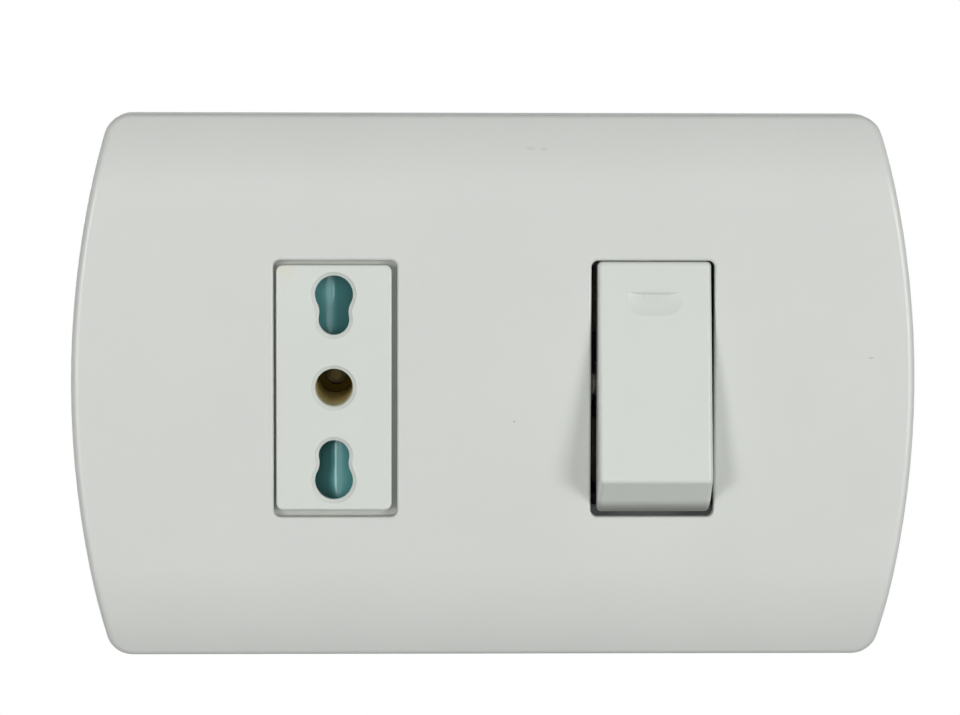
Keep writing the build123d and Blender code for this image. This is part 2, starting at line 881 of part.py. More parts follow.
with BuildPart() as mark:
    with Locations(mark_plane):
        with Locations((0, mark_height)):
            Cylinder(mark_radius, mark_straight, rotation=(0, 90, 0))
        with GridLocations(mark_straight, 2 * mark_height, 2, 1):
            with Locations((0, mark_height)):
                Sphere(mark_radius)
    split(bisect_by=Plane(origin=mark_deepest, z_dir=mark_lean), keep=Keep.BOTTOM)

cavity_top = top_w - rocker_wall
cavity_bottom = nose_w + rocker_ceiling

with BuildPart() as rocker:
    with BuildSketch(rocker_side):
        Circle(ear_radius)
        with Locations((rocker_base / 2, 0)):
            Rectangle(rocker_base + rocker_wall, 2 * ear_radius)
    extrude(amount=rocker_half, both=True)
    with BuildSketch(rocker_side):
        Rectangle(4 * ear_radius + 2 * rocker_base, 4 * ear_radius)
    extrude(amount=rocker_half - rocker_wall, both=True, mode=Mode.SUBTRACT)
    add(rocker_key.part)
    with BuildSketch(rocker_side):
        with BuildLine():
            Polyline(
                (0, cavity_top),
                (face_reach(cavity_top) - rocker_ceiling, cavity_top),
                (face_reach(cavity_bottom) - rocker_ceiling, cavity_bottom),
                (0, cavity_bottom),
                close=True,
            )
        make_face()
    extrude(amount=rocker_half - rocker_wall, both=True, mode=Mode.SUBTRACT)
    with BuildSketch(along(switch_x, pivot_level, rocker_rest, -stem_reach)):
        Circle(stem_outer)
    extrude(amount=stem_reach + face_reach(stem_outer) - rocker_ceiling / 2)
    with BuildSketch(along(switch_x, pivot_level, rocker_rest, -stem_reach)):
        Circle(stem_bore)
    extrude(amount=stem_reach + stem_depth, mode=Mode.SUBTRACT)
    for across in (-1, 1):
        pin_root = switch_x + across * (rocker_half - rocker_wall / 2)
        with BuildSketch(tilted(pin_root, pivot_level, rocker_rest)):
            Circle(pivot_radius)
        extrude(amount=-across * (rocker_wall / 2 + pivot_reach))
    add(mark.part, mode=Mode.SUBTRACT)

# Plunger and its spring, in the rocker's stem
plunger_radius = stem_bore - plunger_play
push_radius = stem_bore - push_gap - push_wire
push_length = stem_depth + plunger_top - 2 * (push_end + push_wire)

with BuildPart() as plunger:
    with BuildSketch(along(switch_x, pivot_level, rocker_rest, -plunger_shoulder)):
        Circle(plunger_radius)
    extrude(amount=plunger_shoulder - plunger_top)
    with BuildSketch(along(switch_x, pivot_level, rocker_rest, -plunger_shoulder)):
        Circle(plunger_radius)
    with BuildSketch(along(switch_x, pivot_level, rocker_rest, -plunger_reach)):
        Circle(plunger_tip)
    loft()
    with Locations(along(switch_x, pivot_level, rocker_rest, -plunger_reach)):
        Sphere(plunger_tip)

with BuildPart() as plunger_spring:
    spring_foot = along(switch_x, pivot_level, rocker_rest, push_end + push_wire - plunger_top)
    with Locations(spring_foot):
        add(coil(push_radius, push_length / push_turns, push_turns, push_wire))

# Seesaw blade: a strip with a pressed saddle, on two lugs
blade_side = tilted(switch_x, blade_level, -rocker_rest)
blade_back = blade_front - blade_thick
blade_half = blade_width / 2

with BuildPart() as moving_contact:
    with BuildSketch(blade_side):
        with Locations((saddle_centre, 0)):
            Circle(saddle_radius + blade_thick)
        with Locations((blade_front - 2 * saddle_radius, 0)):
            Rectangle(4 * saddle_radius, 4 * saddle_radius, mode=Mode.INTERSECT)
        with Locations(((blade_front + blade_back) / 2, (blade_low + blade_high) / 2)):
            Rectangle(blade_thick, blade_high - blade_low)
    extrude(amount=blade_half, both=True)
    with BuildSketch(blade_side):
        Circle(lug_pin)
    extrude(amount=yoke_out, both=True)
    with BuildSketch(blade_side):
        with Locations((saddle_centre, 0)):
            Circle(saddle_radius)
    extrude(amount=blade_half, both=True, mode=Mode.SUBTRACT)
    with BuildSketch(along(switch_x, blade_level, -rocker_rest, blade_back)):
        with Locations((0, tip_place)):
            Circle(tip_shank + tip_play)
    extrude(amount=blade_thick, mode=Mode.SUBTRACT)

with BuildPart() as moving_tip:
    with BuildSketch(along(switch_x, blade_level, -rocker_rest, blade_back)):
        with Locations((0, tip_place)):
            Circle(tip_radius)
    extrude(amount=-tip_thick)
    fillet(moving_tip.edges().group_by(Axis.Y)[-1], tip_round)
    with BuildSketch(along(switch_x, blade_level, -rocker_rest, blade_back)):
        with Locations((0, tip_place)):
            Circle(tip_shank)
    extrude(amount=blade_thick)

# Common terminal: the tab, a strip along the floor and the yoke that carries the blade
strip_low = -chamber_pitch
strip_high = yoke_half

with BuildPart() as common_terminal:
    with BuildSketch(level(tab_back, switch_x)):
        with Locations((0, (strip_low + strip_high) / 2)):
            Rectangle(2 * yoke_out, strip_high - strip_low)
        with Locations((0, -chamber_pitch)):
            Rectangle(tab_width, tab_height)
            Circle(screw_radius + thread_play, mode=Mode.SUBTRACT)
    extrude(amount=tab_thick)
    with BuildSketch(level(tab_back, switch_x)):
        with GridLocations(yoke_in + yoke_out, 0, 2, 1):
            Rectangle(yoke_thick, 2 * yoke_half)
    extrude(amount=blade_level + yoke_top - tab_back)
    with BuildSketch(side(switch_x)):
        with Locations((blade_level, 0)):
            Circle(lug_pin + lug_pin_play)
        with Locations((blade_level + yoke_top / 2, 0)):
            Rectangle(yoke_top, 2 * (lug_pin + lug_pin_play))
    extrude(amount=2 * yoke_out, both=True, mode=Mode.SUBTRACT)

# Fixed contact: the tab, a riser at its edge and a shelf under the moving tip
closed_tip = tip_thick - blade_back
closed_swing = (tip_place + tip_radius) * sin(radians(rocker_rest))
fixed_tip_level = blade_level - closed_tip - closed_swing - tip_gap
shelf_level = fixed_tip_level - tip_thick
tab_edge = chamber_pitch + tab_height / 2
fixed_tip_z = tip_place * cos(radians(rocker_rest))

with BuildPart() as fixed_contact:
    with BuildSketch(level(tab_back, switch_x)):
        tab_sketch(chamber_pitch)
    extrude(amount=tab_thick)
    with BuildSketch(level(tab_back, switch_x)):
        with Locations((0, tab_edge - tab_thick / 2)):
            Rectangle(shelf_width, tab_thick)
    extrude(amount=shelf_level - tab_back)
    with BuildSketch(level(shelf_level, switch_x)):
        with Locations((0, (shelf_low + tab_edge) / 2)):
            Rectangle(shelf_width, tab_edge - shelf_low)
        with Locations((0, fixed_tip_z)):
            Circle(tip_shank + tip_play, mode=Mode.SUBTRACT)
    extrude(amount=-tab_thick)

with BuildPart() as fixed_tip:
    with BuildSketch(level(shelf_level, switch_x)):
        with Locations((0, fixed_tip_z)):
            Circle(tip_radius)
    extrude(amount=tip_thick)
    fillet(fixed_tip.edges().group_by(Axis.Y)[0], tip_round)
    with BuildSketch(level(shelf_level, switch_x)):
        with Locations((0, fixed_tip_z)):
            Circle(tip_shank)
    extrude(amount=-tab_thick)

# Finished pieces
pieces = {
    "cover_plate": cover_plate,
    "support_frame": support_frame,
    "socket_front": socket_front,
    "socket_base": socket_base,
    "contact_cover": contact_cover,
    "shutter": shutter,
    "shutter_spring": shutter_spring,
    "live_contact": live_contact,
    "neutral_contact": neutral_contact,
    "earth_contact": earth_contact,
    "socket_clamp_live": clamp_plate(socket_x, chamber_pitch),
    "socket_clamp_neutral": clamp_plate(socket_x, -chamber_pitch),
    "socket_clamp_earth": clamp_plate(socket_x, 0.0),
    "socket_terminal_screws": terminal_screws(socket_x, socket_chambers),
    "switch_front": switch_front,
    "switch_base": switch_base,
    "rocker": rocker,
    "plunger": plunger,
    "plunger_spring": plunger_spring,
    "moving_contact": moving_contact,
    "moving_tip": moving_tip,
    "common_terminal": common_terminal,
    "fixed_contact": fixed_contact,
    "fixed_tip": fixed_tip,
    "switch_clamp_common": clamp_plate(switch_x, -chamber_pitch),
    "switch_clamp_switched": clamp_plate(switch_x, chamber_pitch),
    "switch_terminal_screws": terminal_screws(switch_x, switch_chambers),
}
for name, piece in pieces.items():
    keep(piece, name)
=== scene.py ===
# %% [markdown]
# # A wall plate with a socket and a rocker switch
#
# The part arrives from the CAD model as separate solids: the plate, the frame behind it, a socket
# module and a switch module with all that is inside them. Those solids already have the right shape,
# so they stay. This lesson gives them finishes, adds the small things that repeat, and sets up the
# camera and the light of a plain product picture.
#
# Lengths are metres. X runs right, Z up, and the front faces -Y.

# %% Load the frame
import math

import bpy
from mathutils import Matrix, Vector


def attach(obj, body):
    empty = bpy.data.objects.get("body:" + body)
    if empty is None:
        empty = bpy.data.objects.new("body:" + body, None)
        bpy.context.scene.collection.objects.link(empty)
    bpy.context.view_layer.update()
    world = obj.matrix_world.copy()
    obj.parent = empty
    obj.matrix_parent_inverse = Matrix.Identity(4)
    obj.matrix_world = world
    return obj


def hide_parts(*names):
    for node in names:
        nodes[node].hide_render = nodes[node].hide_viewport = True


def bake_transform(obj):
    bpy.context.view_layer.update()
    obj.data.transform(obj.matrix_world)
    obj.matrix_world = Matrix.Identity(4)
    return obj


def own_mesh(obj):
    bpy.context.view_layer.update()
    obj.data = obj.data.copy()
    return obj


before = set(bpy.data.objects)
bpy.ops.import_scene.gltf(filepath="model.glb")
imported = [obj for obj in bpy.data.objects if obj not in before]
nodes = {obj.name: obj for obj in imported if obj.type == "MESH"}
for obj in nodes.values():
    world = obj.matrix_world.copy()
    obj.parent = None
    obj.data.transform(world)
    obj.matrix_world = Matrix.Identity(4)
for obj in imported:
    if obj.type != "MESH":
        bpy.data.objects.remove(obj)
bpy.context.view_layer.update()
scene = bpy.context.scene
mm = 0.001

# %% [markdown]
# ## The camera
#
# The places of the windows and pin holes in the picture gave the viewpoint: a little to the left, a
# few degrees above, and rolled by a fraction of a degree. The rocker stands out of the plate and
# slides over its gap on the right, which gave the distance of about half a metre. One scale, pixels
# per millimetre on the plate's face, then sets the lens.

# %% Camera
image_width = 960
pixels_per_mm = 7.188
sensor_width = 36.0
near_clip = 0.01
face_level = 8.5 * mm
view_distance = 0.5
view_azimuth = -1.5
view_elevation = 4.4
view_roll = math.radians(0.13)
view_target = Vector((-1.99 * mm, -face_level, 4.25 * mm))


def outward(azimuth, elevation):
    """The direction out of the part at an azimuth from its front and an elevation, in degrees."""
    around = math.radians(azimuth)
    above = math.radians(elevation)
    level = math.cos(above)
    return Vector((math.sin(around) * level, -math.cos(around) * level, math.sin(above)))


def standing_off(direction, distance):
    """A place out along a direction that looks back along it, as a camera or a lamp does."""
    turn = direction.to_track_quat("Z", "Y").to_matrix().to_4x4()
    return Matrix.Translation(direction * distance) @ turn


camera_data = bpy.data.cameras.new("camera")
camera_data.sensor_width = sensor_width
camera_data.lens = sensor_width * view_distance / (image_width / pixels_per_mm * mm)
camera_data.clip_start = near_clip
camera = bpy.data.objects.new("camera", camera_data)
scene.collection.objects.link(camera)
stand = standing_off(outward(view_azimuth, view_elevation), view_distance)
camera.matrix_world = Matrix.Translation(view_target) @ stand @ Matrix.Rotation(view_roll, 4, "Z")
bpy.context.scene.camera = camera
print("lens mm", round(camera_data.lens, 1))

# %% [markdown]
# ## Short ways to add shader nodes
#
# The world, the floor and every finish need the same few nodes: a sum on two values, and a value
# carried from one range to another. Three small functions add and link them, so that the cells
# below read as what they make. The third tells rays that look from rays that gather light.

# %% Helpers for shader trees


def worked_out(tree, operation, first, second):
    """A math node on two values, each a socket or a number."""
    node = tree.nodes.new("ShaderNodeMath")
    node.operation = operation
    for value, socket in zip((first, second), node.inputs):
        if isinstance(value, bpy.types.NodeSocket):
            tree.links.new(value, socket)
        else:
            socket.default_value = value
    return node.outputs[0]


def ranged(tree, value, from_low, from_high, to_low=0.0, to_high=1.0):
    """A value carried from one range to another and held at its ends."""
    node = tree.nodes.new("ShaderNodeMapRange")
    node.inputs["From Min"].default_value = from_low
    node.inputs["From Max"].default_value = from_high
    node.inputs["To Min"].default_value = to_low
    node.inputs["To Max"].default_value = to_high
    tree.links.new(value, node.inputs["Value"])
    return node.outputs["Result"]


def seen_rays(tree):
    """1 for rays from the camera, a reflection or a see-through surface, 0 for rays that gather light."""
    rays = tree.nodes.new("ShaderNodeLightPath").outputs
    seen = worked_out(tree, "MAXIMUM", rays["Is Camera Ray"], rays["Is Glossy Ray"])
    return worked_out(tree, "MAXIMUM", seen, rays["Is Transmission Ray"])


print("shader helpers ready")

# %% [markdown]
# ## Light and background
#
# The picture has a white ground and very soft light: a lamp on each side at about the same height as
# the part, a broad fill from the front, and nothing from below. A lamp behind the part shows its back
# to other views and doesn't reach the front. The world is white where the camera, a reflection or a
# see-through surface looks at it. Where it lights the part it is a quiet grey, darker behind.

# %% World
scene.view_settings.view_transform = "Standard"
white = (1.0, 1.0, 1.0, 1.0)
white_strength = 1.0
ambient_front = 0.2
ambient_back = 0.05
front_blend = 0.4

world = bpy.data.worlds.new("studio")
scene.world = world
world.use_nodes = True
tree = world.node_tree
tree.nodes.clear()
direction = tree.nodes.new("ShaderNodeTexCoord")
split = tree.nodes.new("ShaderNodeSeparateXYZ")
tree.links.new(direction.outputs["Generated"], split.inputs[0])
ambient = ranged(tree, split.outputs["Y"], front_blend, -front_blend, ambient_back, ambient_front)
lit = tree.nodes.new("ShaderNodeBackground")
lit.inputs["Color"].default_value = white
white_ground = tree.nodes.new("ShaderNodeBackground")
white_ground.inputs["Color"].default_value = white
white_ground.inputs["Strength"].default_value = white_strength
either = tree.nodes.new("ShaderNodeMixShader")
world_out = tree.nodes.new("ShaderNodeOutputWorld")
tree.links.new(ambient, lit.inputs["Strength"])
tree.links.new(seen_rays(tree), either.inputs[0])
tree.links.new(lit.outputs[0], either.inputs[1])
tree.links.new(white_ground.outputs[0], either.inputs[2])
tree.links.new(either.outputs[0], world_out.inputs["Surface"])
print("world light", ambient_back, "behind to", ambient_front, "in front")

# %% Lamps


def soft_lamp(name, azimuth, elevation, distance, width, height, watts):
    """A rectangular lamp that looks at the part from an azimuth and elevation in degrees."""
    data = bpy.data.lights.new(name, "AREA")
    data.shape = "RECTANGLE"
    data.size = width
    data.size_y = height
    data.energy = watts
    lamp = bpy.data.objects.new(name, data)
    scene.collection.objects.link(lamp)
    lamp.matrix_world = standing_off(outward(azimuth, elevation), distance)
    return lamp


beside = {"elevation": 0.0, "distance": 0.9, "width": 0.3, "height": 0.36}
ahead = {"elevation": 6.0, "distance": 1.3, "width": 0.9, "height": 0.6}
behind = {"elevation": 1.0, "distance": 1.0, "width": 0.7, "height": 0.15}
lamps = [
    soft_lamp("lamp_left", azimuth=-35.0, watts=3.85, **beside),
    soft_lamp("lamp_right", azimuth=45.0, watts=4.45, **beside),
    soft_lamp("lamp_front", azimuth=0.0, watts=2.2, **ahead),
    soft_lamp("lamp_back", azimuth=180.0, watts=3.0, **behind),
]
print("lamps", [lamp.name for lamp in lamps])

# %% [markdown]
# ## The floor
#
# The real part hangs on a wall, so the floor lies well below it, where its shadow falls outside the
# picture. It is pale and takes a soft shadow near the part. Further out it turns as white as the
# world, so no horizon shows. It looks paler than it is: light that it throws back on to the part is
# kept low, as under a part on a wall.

# %% Floor
floor_drop = 0.12
floor_size = 6.0
half = floor_size / 2
corners = [(-half, -half), (half, -half), (half, half), (-half, half)]
floor_mesh = bpy.data.meshes.new("floor")
floor_mesh.from_pydata([(x, y, -floor_drop) for x, y in corners], [], [(0, 1, 2, 3)])
floor = bpy.data.objects.new("floor", floor_mesh)
scene.collection.objects.link(floor)
print("floor", floor_size, "m wide,", floor_drop, "m down")

# %% Floor paint
floor_seen = 0.92
floor_bounce = 0.3
floor_roughness = 0.9
shadow_reach = 0.25
white_reach = 0.42
near_glow = 0.72

floor_paint = bpy.data.materials.new("floor_paint")
floor_paint.use_nodes = True
tree = floor_paint.node_tree
seen = seen_rays(tree)
paint = tree.nodes["Principled BSDF"]
paint.inputs["Roughness"].default_value = floor_roughness
tree.links.new(ranged(tree, seen, 0.0, 1.0, floor_bounce, floor_seen), paint.inputs["Base Color"])
glow = tree.nodes.new("ShaderNodeEmission")
glow.inputs["Strength"].default_value = white_strength
place = tree.nodes.new("ShaderNodeTexCoord")
reach = tree.nodes.new("ShaderNodeVectorMath")
reach.operation = "LENGTH"
tree.links.new(place.outputs["Object"], reach.inputs[0])
fade = ranged(tree, reach.outputs["Value"], shadow_reach, white_reach, near_glow, 1.0)
blend = tree.nodes.new("ShaderNodeMixShader")
tree.links.new(worked_out(tree, "MULTIPLY", fade, seen), blend.inputs[0])
tree.links.new(paint.outputs[0], blend.inputs[1])
tree.links.new(glow.outputs[0], blend.inputs[2])
tree.links.new(blend.outputs[0], tree.nodes["Material Output"].inputs["Surface"])
floor_mesh.materials.append(floor_paint)
print("floor white from", white_reach, "m out")

# %% [markdown]
# ## What every finish is made of
#
# No surface is quite one colour, and none is quite smooth. Noise on Object coordinates gives both at
# a real size on every piece: it mixes two tones, moves the roughness up and down, and raises a fine
# relief. A tone can also turn to another colour with depth, which is Y: painted shade in a gap or deep
# in a hole, and painted light on a rim.

# %% Helpers for finishes
noise_low = 0.3
noise_high = 0.7


def new_finish(name):
    """A node material, its tree, its shader and a source of Object coordinates."""
    finish = bpy.data.materials.new(name)
    finish.use_nodes = True
    tree = finish.node_tree
    place = tree.nodes.new("ShaderNodeTexCoord")
    return finish, tree, tree.nodes["Principled BSDF"], place.outputs["Object"]


def noise(tree, place, scale, detail):
    """Noise of a given scale, per metre."""
    node = tree.nodes.new("ShaderNodeTexNoise")
    node.inputs["Scale"].default_value = scale
    node.inputs["Detail"].default_value = detail
    tree.links.new(place, node.inputs["Vector"])
    return node.outputs["Fac"]


def two_tone(tree, cloud, low, high):
    """A colour that runs between two over the range where noise spends its time."""
    ramp = tree.nodes.new("ShaderNodeValToRGB")
    ramp.color_ramp.elements[0].position = noise_low
    ramp.color_ramp.elements[1].position = noise_high
    ramp.color_ramp.elements[0].color = (*low, 1.0)
    ramp.color_ramp.elements[1].color = (*high, 1.0)
    tree.links.new(cloud, ramp.inputs["Fac"])
    return ramp.outputs["Color"]


def roughened(tree, fine, middle, swing, depth, shader):
    """Roughness that swings about a middle with fine noise, and relief of a depth in metres."""
    rough = ranged(tree, fine, noise_low, noise_high, middle - swing, middle + swing)
    tree.links.new(rough, shader.inputs["Roughness"])
    bump = tree.nodes.new("ShaderNodeBump")
    bump.inputs["Strength"].default_value = 1.0
    bump.inputs["Distance"].default_value = depth
    tree.links.new(fine, bump.inputs["Height"])
    tree.links.new(bump.outputs["Normal"], shader.inputs["Normal"])


def painted_over(tree, tone, share, colour):
    """A colour mixed over a tone by a share from 0 to 1."""
    over = tree.nodes.new("ShaderNodeMix")
    over.data_type = "RGBA"
    over.inputs["B"].default_value = (*colour, 1.0)
    tree.links.new(share, over.inputs["Factor"])
    tree.links.new(tone, over.inputs["A"])
    return over.outputs["Result"]


def depth_share(tree, place, clear, turned):
    """A share that goes from 0 to 1 between two depths, in mm along Y."""
    split = tree.nodes.new("ShaderNodeSeparateXYZ")
    tree.links.new(place, split.inputs[0])
    return ranged(tree, split.outputs["Y"], clear * mm, turned * mm)


print("finish helpers ready")

# %% [markdown]
# ## Moulded plastic
#
# Every plastic piece is a moulding, and a moulding is never quite one colour: the shade drifts a
# little over its length, and the tool leaves a very fine grain that breaks up the shine. One function
# builds that. It also takes marks of use, painted shade and painted light, and tones by depth, which
# the next step needs.

# %% Plastics
drift_scale = 55.0
drift_detail = 3.0
grain_scale = 2600.0
grain_detail = 2.0
grain_swing = 0.04
grain_depth = 0.002 * mm


def shade(colour, factor):
    """A colour made lighter or darker."""
    return tuple(channel * factor for channel in colour)


def moulded(name, colour, roughness, drift=0.012, marks=(), depths=()):
    """Moulded plastic with a slight drift of shade, a fine grain, marks of use or painted shade, and
    tones by depth.
    """
    finish, tree, shader, place = new_finish(name)
    cloud = noise(tree, place, drift_scale, drift_detail)
    tone = two_tone(tree, cloud, shade(colour, 1 - drift), shade(colour, 1 + drift))
    for mark in marks:
        tone = marked(tree, place, tone, *mark)
    for clear, turned, deep_colour in depths:
        tone = painted_over(tree, tone, depth_share(tree, place, clear, turned), deep_colour)
    tree.links.new(tone, shader.inputs["Base Color"])
    fine = noise(tree, place, grain_scale, grain_detail)
    roughened(tree, fine, roughness, grain_swing, grain_depth, shader)
    return finish


shell_white = moulded("shell_white", (0.56, 0.57, 0.54), 0.5)
frame_grey = moulded("frame_grey", (0.20, 0.205, 0.205), 0.55)
base_dark = moulded("base_dark", (0.08, 0.08, 0.08), 0.5)
shutter_teal = moulded("shutter_teal", (0.117, 0.349, 0.354), 0.18, drift=0.05)
print("plastics", [m.name for m in (shell_white, frame_grey, base_dark, shutter_teal)])

# %% [markdown]
# ## White plastic with marks of use, painted shade and painted light
#
# The part in the picture is not new. The plate has a nick on its left edge, a few specks, a smudge
# near the top and a short scratch on the right, and the socket face has yellowed a little at one
# corner. The rocker's finger mark and the foot of its lip, where it dips into the window, are painted
# darker: painted shade. Each mark is a soft ball of tone at a place on the piece, in millimetres right,
# out and up from the middle, mixed over the plain tone. It stays put because it reads Object coordinates.
#
# The socket piece is painted darker behind its face, in the gap round it and in its holes: painted
# shade. Its edges and the rims of its holes are painted a little lighter: painted light.

# %% Marks of use


def marked(tree, place, tone, across, out, up, half_size, softness, colour, strength):
    """A soft mark over a tone, from its middle and its half width, depth and height in mm."""
    shift = tree.nodes.new("ShaderNodeVectorMath")
    shift.operation = "SUBTRACT"
    shift.inputs[1].default_value = (across * mm, -out * mm, up * mm)
    squeeze = tree.nodes.new("ShaderNodeVectorMath")
    squeeze.operation = "DIVIDE"
    squeeze.inputs[1].default_value = [side * mm for side in half_size]
    distance = tree.nodes.new("ShaderNodeVectorMath")
    distance.operation = "LENGTH"
    tree.links.new(place, shift.inputs[0])
    tree.links.new(shift.outputs["Vector"], squeeze.inputs[0])
    tree.links.new(squeeze.outputs["Vector"], distance.inputs[0])
    share = ranged(tree, distance.outputs["Value"], 1 - softness, 1.0, strength, 0.0)
    return painted_over(tree, tone, share, colour)


# Each row: right, out, up, half size, softness of the edge, colour, strength
# The colour of real specks and smudges on the plate and socket, and of painted shade on the rocker.
grime_and_shade = (0.16, 0.15, 0.13)
yellowed = (0.66, 0.62, 0.47)
plate_marks = [
    (-58.9, 5.4, 4.9, (0.7, 1.4, 0.35), 0.5, grime_and_shade, 0.9),
    (2.8, 8.5, -4.7, (0.22, 2.0, 0.25), 0.8, grime_and_shade, 0.45),
    (5.0, 7.5, 33.3, (0.9, 4.0, 0.4), 0.9, grime_and_shade, 0.16),
    (6.9, 7.5, 33.2, (0.6, 4.0, 0.35), 0.9, grime_and_shade, 0.16),
    (52.6, 8.5, 4.2, (0.5, 2.0, 0.16), 0.7, grime_and_shade, 0.4),
]
socket_marks = [
    (-29.6, 8.5, 16.7, (2.6, 4.0, 2.2), 1.0, yellowed, 0.5),
    (-30.2, 8.5, -2.0, (0.7, 4.0, 15.0), 1.0, yellowed, 0.25),
    (-18.0, 8.5, -4.9, (0.35, 2.0, 0.3), 0.9, grime_and_shade, 0.06),
]
# Painted shade: the finger mark and the foot of the lip, where it dips into the window, are darkened.
rocker_shade_marks = [
    (22.3, 8.3, 12.8, (4.4, 3.0, 1.3), 0.9, grime_and_shade, 0.12),
    (22.3, 8.0, -16.7, (30.0, 8.0, 1.3), 0.75, grime_and_shade, 0.47),
]
print("marks", len(plate_marks), len(socket_marks), len(rocker_shade_marks), "on plate, socket face, rocker")

# %% White plastics
module_white = (0.640, 0.672, 0.630)
# Painted light: a lighter tone on the socket face's rounded edges and hole rims, which tilt away from the
# lamps.
rim_painted_light = (-8.47, -8.35, (0.73, 0.765, 0.72))
# Painted shade: a darker tone on the socket piece behind its face, in the gap and the holes.
gap_painted_shade = (-7.9, -7.2, (0.45, 0.47, 0.43))
socket_depths = [rim_painted_light, gap_painted_shade]
plate_white = moulded("plate_white", (0.621, 0.643, 0.611), 0.36, marks=plate_marks)
socket_white = moulded("socket_white", module_white, 0.34, marks=socket_marks, depths=socket_depths)
rocker_white = moulded("rocker_white", module_white, 0.32, marks=rocker_shade_marks)
print("white plastics", [m.name for m in (plate_white, socket_white, rocker_white)])

# %% [markdown]
# ## Metals
#
# Inside are brass strips, plated steel screws and clamps, spring wire and silver contact rivets. Bare
# brass dulls in patches, and rolled strip has fine lines along its length. Plating is brighter and
# more even. Clean metal is fully metallic, so its colour is what it reflects.
#
# The earth tube is painted darker and greyer at its mouth: painted shade. At its end the tab and the
# shanks of the terminal screws are painted dull brown and don't shine, painted shade where light
# falls off deep in the hole: both finishes turn from metal to this matt tone within a millimetre of
# depth. The clamp at the end of the tube and the strips in the switch are painted dark all over,
# painted shade, so that little of them shows in the earth hole and in the gap beside the rocker.

# %% Metals
tarnish_scale = 420.0
tarnish_detail = 4.0
line_scale = 5200.0
line_detail = 2.0
line_swing = 0.08
line_depth = 0.001 * mm
even = (1.0, 1.0, 1.0)
rolled = (1.0, 0.05, 1.0)


def metal(name, bright, dull, roughness, stretch=even, mouth=None, deep_shade=None):
    """Metal between a bright and a dull tone, with fine lines along a stretched direction.

    At a mouth only its tone turns to painted shade, and a deep shade also takes its shine. Both give
    the depth where the metal is clear, the depth where it has turned, in mm along Y, and the colour.
    """
    finish, tree, shader, place = new_finish(name)
    shader.inputs["Metallic"].default_value = 1.0
    patch = noise(tree, place, tarnish_scale, tarnish_detail)
    tone = two_tone(tree, patch, dull, bright)
    if mouth:
        clear, turned, colour = mouth
        tone = painted_over(tree, tone, depth_share(tree, place, clear, turned), colour)
    # Painted shade deep in a hole: a dark matt tone that also turns off the metal's shine.
    if deep_shade:
        clear, turned, colour = deep_shade
        shade_share = depth_share(tree, place, clear, turned)
        tone = painted_over(tree, tone, shade_share, colour)
        tree.links.new(worked_out(tree, "SUBTRACT", 1.0, shade_share), shader.inputs["Metallic"])
        shader.inputs["Specular IOR Level"].default_value = 0.0
    tree.links.new(tone, shader.inputs["Base Color"])
    along = tree.nodes.new("ShaderNodeMapping")
    along.inputs["Scale"].default_value = stretch
    tree.links.new(place, along.inputs["Vector"])
    lines = noise(tree, along.outputs["Vector"], line_scale, line_detail)
    roughened(tree, lines, roughness, line_swing, line_depth, shader)
    return finish


# Painted shade: the earth tube is darker and greyer near its mouth.
tube_mouth_shade = (-1.0, -6.5, (0.55, 0.54, 0.40))
# Painted shade: a dark matt tone on the earth tube's end and the screw shanks, deep in the hole.
tube_end_shade = (14.4, 14.9, (0.23, 0.17, 0.045))
screw_shank_shade = (19.9, 19.2, (0.54, 0.50, 0.36))
earth_tones = ((0.94, 0.86, 0.55), (0.86, 0.77, 0.48))
plating = ((0.62, 0.62, 0.60), (0.50, 0.50, 0.47))
brass_strip = metal("brass_strip", (0.60, 0.44, 0.18), (0.40, 0.28, 0.11), 0.32, rolled)
# Painted shade: the strips in the switch are painted dark, so the gap beside the rocker reads dark.
painted_shade_brass = metal("painted_shade_brass", (0.22, 0.19, 0.14), (0.15, 0.135, 0.10), 0.5, rolled)
earth_brass = metal("earth_brass", *earth_tones, 0.75, rolled, mouth=tube_mouth_shade, deep_shade=tube_end_shade)
screw_steel = metal("screw_steel", *plating, 0.34, deep_shade=screw_shank_shade)
plated_steel = metal("plated_steel", *plating, 0.34)
# Painted shade: the earth clamp is painted dark, so the end of the earth hole reads dark.
painted_shade_steel = metal("painted_shade_steel", (0.12, 0.105, 0.08), (0.09, 0.08, 0.06), 0.6)
spring_wire = metal("spring_wire", (0.55, 0.55, 0.55), (0.40, 0.40, 0.40), 0.28)
contact_silver = metal("contact_silver", (0.80, 0.79, 0.76), (0.62, 0.60, 0.55), 0.25)
brasses = (brass_strip, painted_shade_brass, earth_brass)
steels = (screw_steel, plated_steel, painted_shade_steel, spring_wire)
print("metals", [m.name for m in (*brasses, *steels, contact_silver)])

# %% [markdown]
# ## A finish for each piece
#
# The CAD pieces keep their meshes, and only their material changes. The screws and springs are in the
# list too, though the finer ones made below stand for them.

# %% Finishes on the pieces
finish_rows = [
    (plate_white, ["cover_plate"]),
    (socket_white, ["socket_front"]),
    (rocker_white, ["rocker"]),
    (frame_grey, ["switch_front", "support_frame"]),
    (shell_white, ["socket_base", "contact_cover"]),
    (base_dark, ["switch_base", "plunger"]),
    (shutter_teal, ["shutter"]),
    (brass_strip, ["live_contact", "neutral_contact"]),
    (earth_brass, ["earth_contact"]),
    (painted_shade_brass, ["common_terminal", "fixed_contact", "moving_contact"]),
    (contact_silver, ["moving_tip", "fixed_tip"]),
    (plated_steel, ["socket_clamp_live", "socket_clamp_neutral"]),
    (plated_steel, ["switch_clamp_common", "switch_clamp_switched"]),
    (painted_shade_steel, ["socket_clamp_earth"]),
    (screw_steel, ["socket_terminal_screws", "switch_terminal_screws"]),
    (spring_wire, ["shutter_spring", "plunger_spring"]),
]
for finish, names in finish_rows:
    for name in names:
        slots = nodes[name].data.materials
        slots.clear()
        slots.append(finish)
